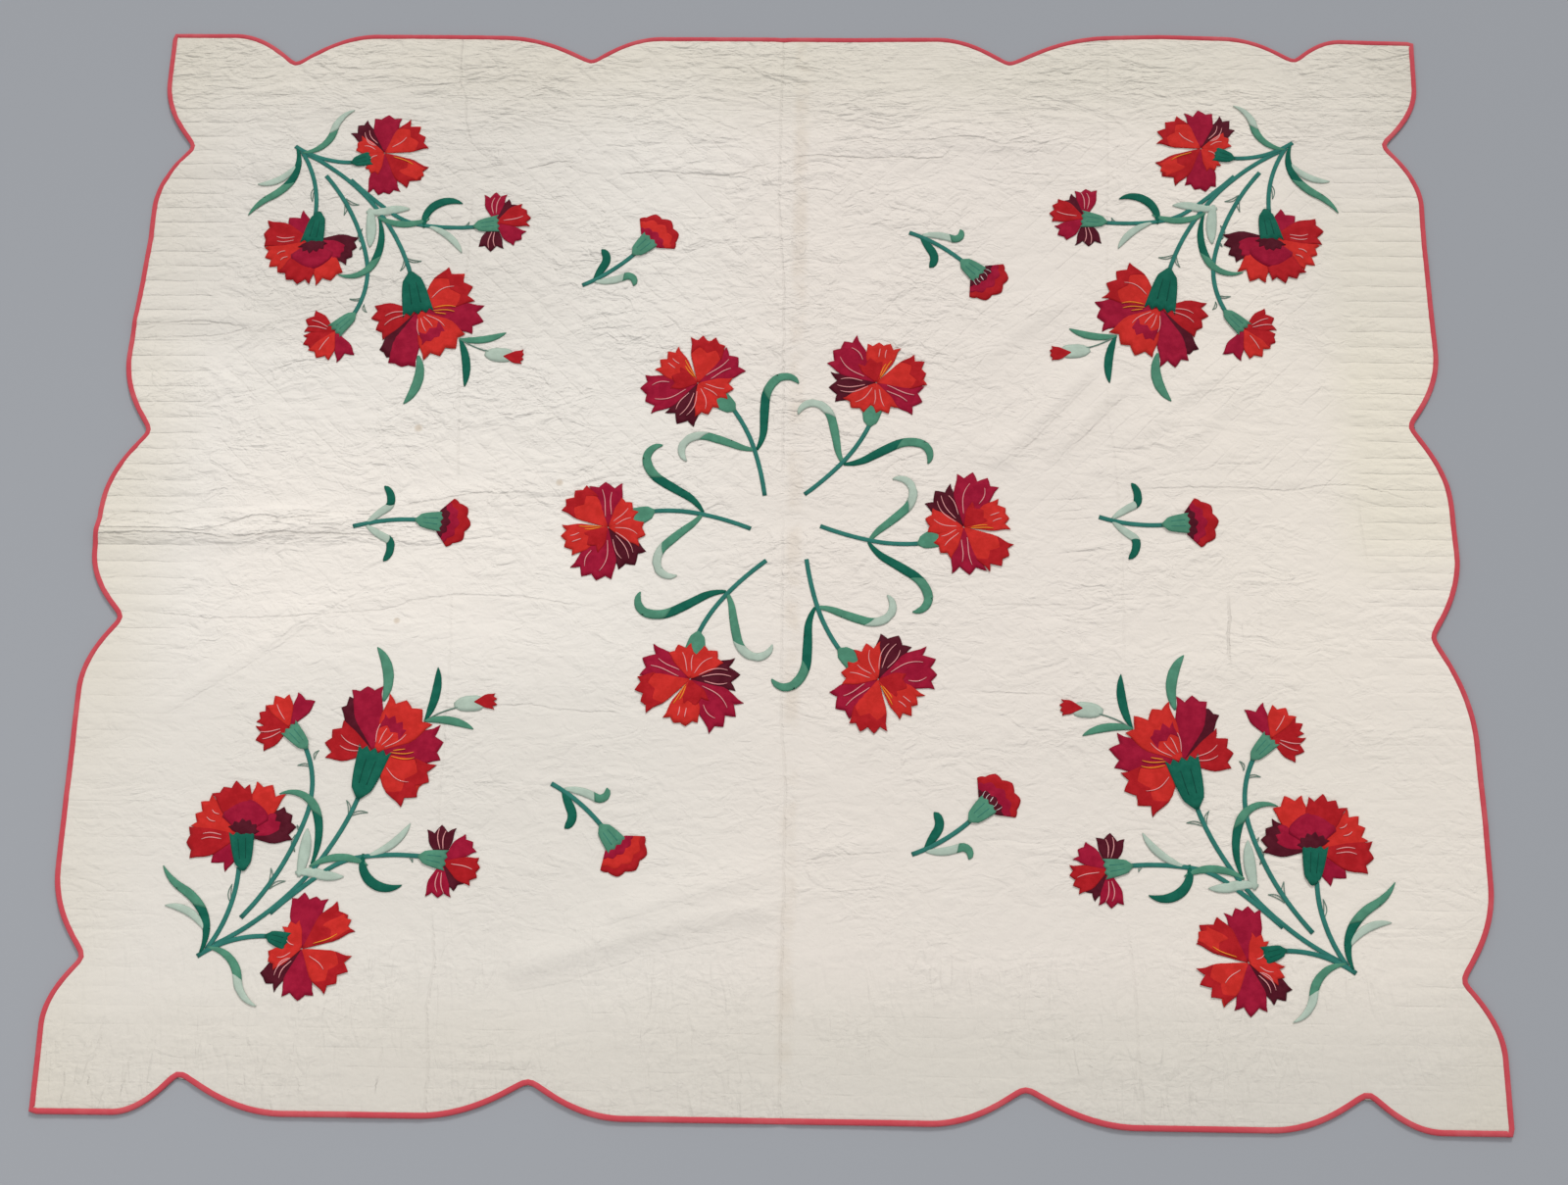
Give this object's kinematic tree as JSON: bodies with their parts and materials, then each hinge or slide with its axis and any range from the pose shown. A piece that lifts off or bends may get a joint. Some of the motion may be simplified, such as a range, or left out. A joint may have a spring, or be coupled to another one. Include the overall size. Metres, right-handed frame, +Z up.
{
  "type": "applique quilt",
  "caption": "Flat cream quilt with a scalloped coral binding, a wreath of carnations, corner sprays and single sprigs in applique, and soft storage folds.",
  "frame": {"origin": "on the surface that the quilt lies on, under the middle of its outline", "axes": "+Z up from the underside through the face with the flowers; +X along the long side, to the right in the picture; +Y to the far side"},
  "size_m": [2.3256, 1.9719, 0.0129],
  "materials": {
    "cloth": "washed cream cotton, quilted by hand",
    "binding": "coral red cotton, folded over the edge",
    "petals": "red, scarlet, crimson and maroon cotton, embroidered",
    "greenery": "dark, middle and pale green cotton, embroidered"
  },
  "bodies": {
    "root": {"binding": "binding", "quilt_body": "cloth", "spray_1_bell_head": "petals", "spray_1_bud": "greenery", "spray_1_fan_head": "petals", "spray_1_great_head": "petals", "spray_1_leaf": "greenery", "spray_1_open_head": "petals", "spray_1_small_head": "petals", "spray_1_stems": "greenery", "spray_2_bell_head": "petals", "spray_2_bud": "greenery", "spray_2_fan_head": "petals", "spray_2_great_head": "petals", "spray_2_leaf": "greenery", "spray_2_open_head": "petals", "spray_2_small_head": "petals", "spray_2_stems": "greenery", "spray_3_bell_head": "petals", "spray_3_bud": "greenery", "spray_3_fan_head": "petals", "spray_3_great_head": "petals", "spray_3_leaf": "greenery", "spray_3_open_head": "petals", "spray_3_small_head": "petals", "spray_3_stems": "greenery", "spray_4_bell_head": "petals", "spray_4_bud": "greenery", "spray_4_fan_head": "petals", "spray_4_great_head": "petals", "spray_4_leaf": "greenery", "spray_4_open_head": "petals", "spray_4_small_head": "petals", "spray_4_stems": "greenery", "sprig_1_bloom": "petals", "sprig_1_stem": "greenery", "sprig_2_bloom": "petals", "sprig_2_stem": "greenery", "sprig_3_bloom": "petals", "sprig_3_stem": "greenery", "sprig_4_bloom": "petals", "sprig_4_stem": "greenery", "sprig_5_bloom": "petals", "sprig_5_stem": "greenery", "sprig_6_bloom": "petals", "sprig_6_stem": "greenery", "wreath_head_1": "petals", "wreath_head_2": "petals", "wreath_head_3": "petals", "wreath_head_4": "petals", "wreath_head_5": "petals", "wreath_head_6": "petals", "wreath_stem_1": "greenery", "wreath_stem_2": "greenery", "wreath_stem_3": "greenery", "wreath_stem_4": "greenery", "wreath_stem_5": "greenery", "wreath_stem_6": "greenery"}
  },
  "joints": []
}
